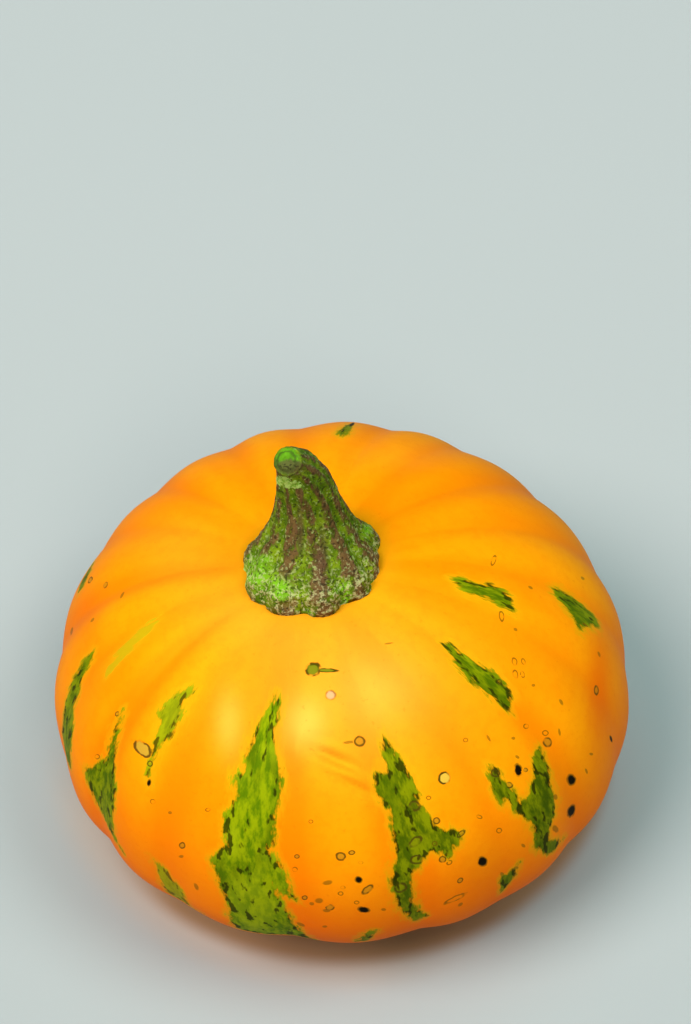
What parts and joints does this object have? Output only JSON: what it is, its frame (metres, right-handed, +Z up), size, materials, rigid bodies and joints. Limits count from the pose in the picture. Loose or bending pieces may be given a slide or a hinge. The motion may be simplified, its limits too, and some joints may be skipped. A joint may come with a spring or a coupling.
{
  "type": "acorn squash",
  "caption": "Squat ribbed winter squash with an orange, green-flecked rind and its cut corky stalk, standing on its blossom end.",
  "frame": {"origin": "middle of the bounding box's underside, level with the flat spot that the squash rests on", "axes": "+Z up, from the blossom end to the stalk; -Y towards the side that is seen in front; +X to that viewer's right"},
  "size_m": [0.1348, 0.1346, 0.1186],
  "materials": {
    "rind": "smooth waxy vegetable rind, orange with ragged green flecks",
    "stalk": "dry corky stalk, green furrows between brown ridges"
  },
  "bodies": {
    "root": {"fruit": "rind", "stalk": "stalk"}
  },
  "joints": []
}
